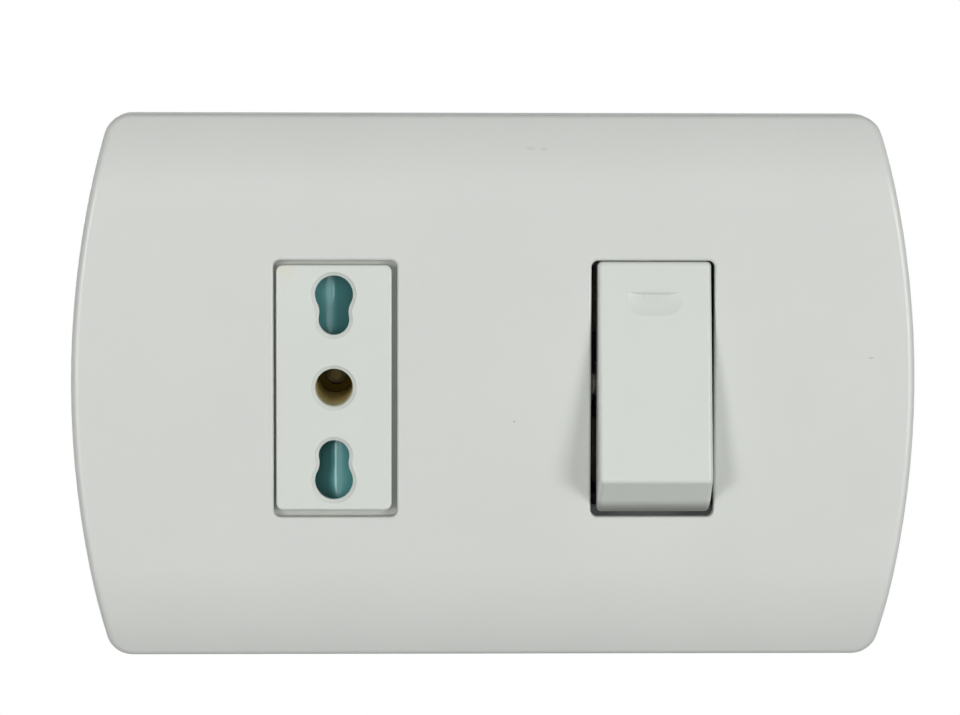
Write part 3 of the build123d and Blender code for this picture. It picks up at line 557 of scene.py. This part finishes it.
print("finished pieces", sum(len(names) for finish, names in finish_rows), "of", len(nodes))

# %% [markdown]
# ## Geometry Nodes: a tree in, a plain mesh out
#
# Screws and springs repeat a shape or follow a path, which is what Geometry Nodes are good at. A tree
# gets named inputs for its sizes, an empty object carries it as a modifier, and the evaluated result
# is copied to a plain mesh. The modifier then goes, because the part is exported as plain meshes.

# %% Helpers for node trees
sharp_angle = math.radians(35.0)


class Tree:
    """A Geometry Nodes tree with named size inputs, and short ways to add and join its nodes."""

    def __init__(self, name, sizes):
        self.group = bpy.data.node_groups.new(name, "GeometryNodeTree")
        sockets = self.group.interface
        sockets.new_socket("Geometry", in_out="OUTPUT", socket_type="NodeSocketGeometry")
        self.sizes = sizes
        for label, value in sizes.items():
            kind = "NodeSocketInt" if isinstance(value, int) else "NodeSocketFloat"
            sockets.new_socket(label, in_out="INPUT", socket_type=kind)
        sockets.new_socket("Material", in_out="INPUT", socket_type="NodeSocketMaterial")
        self.entry = self.group.nodes.new("NodeGroupInput")

    def size(self, label):
        """The socket of a named input."""
        return self.entry.outputs[label]

    def put(self, value, socket):
        """Link a socket, or write a plain value."""
        if isinstance(value, bpy.types.NodeSocket):
            self.group.links.new(value, socket)
        else:
            socket.default_value = value

    def add(self, kind, **values):
        """A node with its inputs set by name."""
        node = self.group.nodes.new(kind)
        for label, value in values.items():
            self.put(value, node.inputs[label.replace("_", " ")])
        return node

    def combine(self, first, second, operation="ADD"):
        """A math node on two values."""
        node = self.group.nodes.new("ShaderNodeMath")
        node.operation = operation
        self.put(first, node.inputs[0])
        self.put(second, node.inputs[1])
        return node.outputs[0]

    def vector(self, x=0.0, y=0.0, z=0.0):
        return self.add("ShaderNodeCombineXYZ", X=x, Y=y, Z=z).outputs["Vector"]

    def moved(self, geometry, offset):
        node = self.add("GeometryNodeTransform", Geometry=geometry, Translation=offset)
        return node.outputs["Geometry"]

    def joined(self, *parts):
        node = self.group.nodes.new("GeometryNodeJoinGeometry")
        for part in parts:
            self.group.links.new(part, node.inputs["Geometry"])
        return node.outputs["Geometry"]

    def finish(self, geometry):
        """Realize the instances, set the material and send the geometry out."""
        real = self.add("GeometryNodeRealizeInstances", Geometry=geometry).outputs["Geometry"]
        painted = self.add("GeometryNodeSetMaterial", Geometry=real, Material=self.size("Material"))
        out = self.group.nodes.new("NodeGroupOutput")
        self.group.links.new(painted.outputs["Geometry"], out.inputs["Geometry"])

    def grow(self, name, finish, place):
        """The tree's result as a plain mesh object, with its place in the mesh."""
        carrier = bpy.data.objects.new(name, bpy.data.meshes.new(name))
        scene.collection.objects.link(carrier)
        modifier = carrier.modifiers.new(name, "NODES")
        modifier.node_group = self.group
        for item in self.group.interface.items_tree:
            if item.item_type == "SOCKET" and item.in_out == "INPUT":
                value = finish if item.name == "Material" else self.sizes[item.name]
                modifier[item.identifier] = value
        evaluated = carrier.evaluated_get(bpy.context.evaluated_depsgraph_get())
        mesh = bpy.data.meshes.new_from_object(evaluated)
        carrier.modifiers.clear()
        carrier.data = mesh
        mesh.transform(place)
        mesh.shade_smooth()
        mesh.set_sharp_from_angle(angle=sharp_angle)
        mesh.name = name
        return carrier


print("tree helpers ready")

# %% [markdown]
# ## Terminal screws
#
# The wires are held by small slotted screws, reached through the holes in the back of each module.
# The solids have plain shanks. Here each screw gets a bevelled head with a cut slot and a real thread:
# a spiral with a small round section round a thinner core. One screw is built and set out along a
# line. It points along its own Z, and its place turns that to the front.

# %% One screw
shank_sides = 32
head_sides = 48
thread_steps = 28
thread_sides = 6
point_taper = 0.6
cutter_reach = 2.2


def screw_shank(tree):
    """The core, the blunt point and the thread, up from the XY plane."""
    size = tree.size
    straight = tree.combine(size("Shank"), size("Point"), "SUBTRACT")
    core = tree.add(
        "GeometryNodeMeshCylinder", Vertices=shank_sides, Radius=size("Core"), Depth=straight
    )
    core = tree.moved(core.outputs["Mesh"], tree.vector(z=tree.combine(straight, 0.5, "MULTIPLY")))
    point = tree.add(
        "GeometryNodeMeshCone",
        Vertices=shank_sides,
        Radius_Top=tree.combine(size("Core"), point_taper, "MULTIPLY"),
        Radius_Bottom=size("Core"),
        Depth=size("Point"),
    )
    point = tree.moved(point.outputs["Mesh"], tree.vector(z=straight))
    spiral = tree.add(
        "GeometryNodeCurveSpiral",
        Resolution=thread_steps,
        Rotations=size("Turns"),
        Start_Radius=size("Core"),
        End_Radius=size("Core"),
        Height=straight,
    )
    bead = tree.add(
        "GeometryNodeCurvePrimitiveCircle", Resolution=thread_sides, Radius=size("Thread")
    )
    thread = tree.add(
        "GeometryNodeCurveToMesh",
        Curve=spiral.outputs["Curve"],
        Profile_Curve=bead.outputs["Curve"],
        Fill_Caps=True,
    )
    return core, point, thread.outputs["Mesh"]


def screw_head(tree):
    """The bevelled head with its slot, down from the XY plane."""
    size = tree.size
    drum = tree.combine(size("Rise"), size("Bevel"), "SUBTRACT")
    top = tree.vector(z=tree.combine(size("Rise"), -1.0, "MULTIPLY"))
    head = tree.add("GeometryNodeMeshCylinder", Vertices=head_sides, Radius=size("Head"), Depth=drum)
    head = tree.moved(head.outputs["Mesh"], tree.vector(z=tree.combine(drum, -0.5, "MULTIPLY")))
    bevel = tree.add(
        "GeometryNodeMeshCone",
        Vertices=head_sides,
        Radius_Top=size("Head"),
        Radius_Bottom=tree.combine(size("Head"), size("Bevel"), "SUBTRACT"),
        Depth=size("Bevel"),
    )
    bevel = tree.moved(bevel.outputs["Mesh"], top)
    width = tree.combine(size("Head"), cutter_reach, "MULTIPLY")
    depth = tree.combine(size("Cut"), 2.0, "MULTIPLY")
    cutter = tree.add("GeometryNodeMeshCube", Size=tree.vector(width, size("Slot"), depth))
    cutter = tree.moved(cutter.outputs["Mesh"], top)
    welded = tree.group.nodes.new("GeometryNodeMeshBoolean")
    welded.operation = "UNION"
    tree.put(head, welded.inputs["Mesh 2"])
    tree.put(bevel, welded.inputs["Mesh 2"])
    slotted = tree.group.nodes.new("GeometryNodeMeshBoolean")
    slotted.operation = "DIFFERENCE"
    tree.put(welded.outputs["Mesh"], slotted.inputs["Mesh 1"])
    tree.put(cutter, slotted.inputs["Mesh 2"])
    return slotted.outputs["Mesh"]


print("screw with", head_sides, "sides on its head")

# %% Terminal screws
chamber_pitch = 11.0333 * mm
screw_under_head = 19.0 * mm
module_half_pitch = 22.3 * mm
quarter_turn = Matrix.Rotation(math.radians(90.0), 4, "X")


def screw_tree(count, pitch):
    """Slotted screws in a row along Y, with their heads below and their points above the XY plane."""
    tree = Tree(
        "terminal_screws",
        {
            "Count": count,
            "Pitch": pitch,
            "Shank": 3.9 * mm,
            "Core": 1.22 * mm,
            "Thread": 0.16 * mm,
            "Turns": 6.0,
            "Point": 0.5 * mm,
            "Head": 2.5 * mm,
            "Rise": 1.8 * mm,
            "Bevel": 0.4 * mm,
            "Slot": 0.8 * mm,
            "Cut": 0.9 * mm,
        },
    )
    screw = tree.joined(screw_head(tree), *screw_shank(tree))
    spaces = tree.combine(tree.size("Count"), 1.0, "SUBTRACT")
    length = tree.combine(spaces, tree.size("Pitch"), "MULTIPLY")
    row = tree.add(
        "GeometryNodeMeshLine",
        Count=tree.size("Count"),
        Start_Location=tree.vector(y=tree.combine(length, -0.5, "MULTIPLY")),
        Offset=tree.vector(y=tree.size("Pitch")),
    )
    placed = tree.add("GeometryNodeInstanceOnPoints", Points=row.outputs["Mesh"], Instance=screw)
    tree.finish(placed.outputs["Instances"])
    return tree


screw_rows = [
    ("socket_terminal_screws", 3, chamber_pitch, -module_half_pitch),
    ("switch_terminal_screws", 2, 2 * chamber_pitch, module_half_pitch),
]
for node, count, pitch, across in screw_rows:
    place = Matrix.Translation((across, screw_under_head, 0.0)) @ quarter_turn
    screws = screw_tree(count, pitch).grow(node.replace("terminal", "threaded"), screw_steel, place)
    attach(screws, "housing")
    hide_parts(node)
    print(screws.name, len(screws.data.polygons), "faces")

# %% [markdown]
# ## Springs
#
# Two springs work inside. One is wound round the shutter's hub with a leg at each end, and twists
# when the shutter turns. The other sits in the rocker's stem behind the plunger, and shortens. A
# spiral is the path of both, with a round wire along it. The first stays where it is built, and the
# second goes with the rocker.

# %% One spring
coil_steps = 36
wire_sides = 12


def spring_tree(name, radius, rise, turns, wire, low_leg=0.0, high_leg=0.0):
    """A coil up along Z from the XY plane, sizes in mm, with a leg below and above where asked."""
    tree = Tree(
        name,
        {
            "Radius": radius * mm,
            "Rise": rise * mm,
            "Turns": turns,
            "Wire": wire * mm,
            "Low Leg": low_leg * mm,
            "High Leg": high_leg * mm,
        },
    )
    size = tree.size
    spiral = tree.add(
        "GeometryNodeCurveSpiral",
        Resolution=coil_steps,
        Rotations=size("Turns"),
        Start_Radius=size("Radius"),
        End_Radius=size("Radius"),
        Height=size("Rise"),
    )
    section = tree.add("GeometryNodeCurvePrimitiveCircle", Resolution=wire_sides, Radius=size("Wire"))
    paths = [spiral.outputs["Curve"]]
    if low_leg:
        foot = tree.vector(x=size("Radius"), z=tree.combine(size("Low Leg"), -1.0, "MULTIPLY"))
        low_end = tree.vector(x=size("Radius"))
        leg = tree.add("GeometryNodeCurvePrimitiveLine", Start=foot, End=low_end)
        paths.append(leg.outputs["Curve"])
    if high_leg:
        high_end = tree.vector(x=size("Radius"), z=size("Rise"))
        top = tree.vector(x=size("Radius"), z=tree.combine(size("Rise"), size("High Leg")))
        leg = tree.add("GeometryNodeCurvePrimitiveLine", Start=high_end, End=top)
        paths.append(leg.outputs["Curve"])
    wire_mesh = tree.add(
        "GeometryNodeCurveToMesh",
        Curve=tree.joined(*paths),
        Profile_Curve=section.outputs["Curve"],
        Fill_Caps=True,
    )
    tree.finish(wire_mesh.outputs["Mesh"])
    return tree


print("spring with", coil_steps, "steps a turn")

# %% Shutter spring
coil_back = 2.2
coil_rise = 2.55
coil_start = (-module_half_pitch, coil_back * mm, 0.0)
twist = spring_tree(
    "shutter_coil", radius=5.08, rise=coil_rise, turns=3.0, wire=0.25, low_leg=1.4, high_leg=1.63
)
twist_place = Matrix.Translation(coil_start) @ quarter_turn
shutter_coil = twist.grow("shutter_coil", spring_wire, twist_place)
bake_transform(shutter_coil)
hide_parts("shutter_spring")
print(shutter_coil.name, len(shutter_coil.data.polygons), "faces")

# %% Plunger spring
rocker_rest = math.radians(5.5)
stem_axis = Vector((0.0, -math.cos(rocker_rest), math.sin(rocker_rest)))
pivot = Vector((module_half_pitch, -1.5 * mm, 0.0))
push_low = -0.15
push_rise = 4.8
push_wire = 0.2
push = spring_tree("plunger_coil", radius=1.55, rise=push_rise, turns=6.0, wire=push_wire)
lean = Matrix.Rotation(math.radians(90.0) - rocker_rest, 4, "X")
push_place = Matrix.Translation(pivot + push_low * mm * stem_axis) @ lean
plunger_coil = push.grow("plunger_coil", spring_wire, push_place)
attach(plunger_coil, "rocker")
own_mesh(plunger_coil)
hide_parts("plunger_spring")
print(plunger_coil.name, len(plunger_coil.data.polygons), "faces")
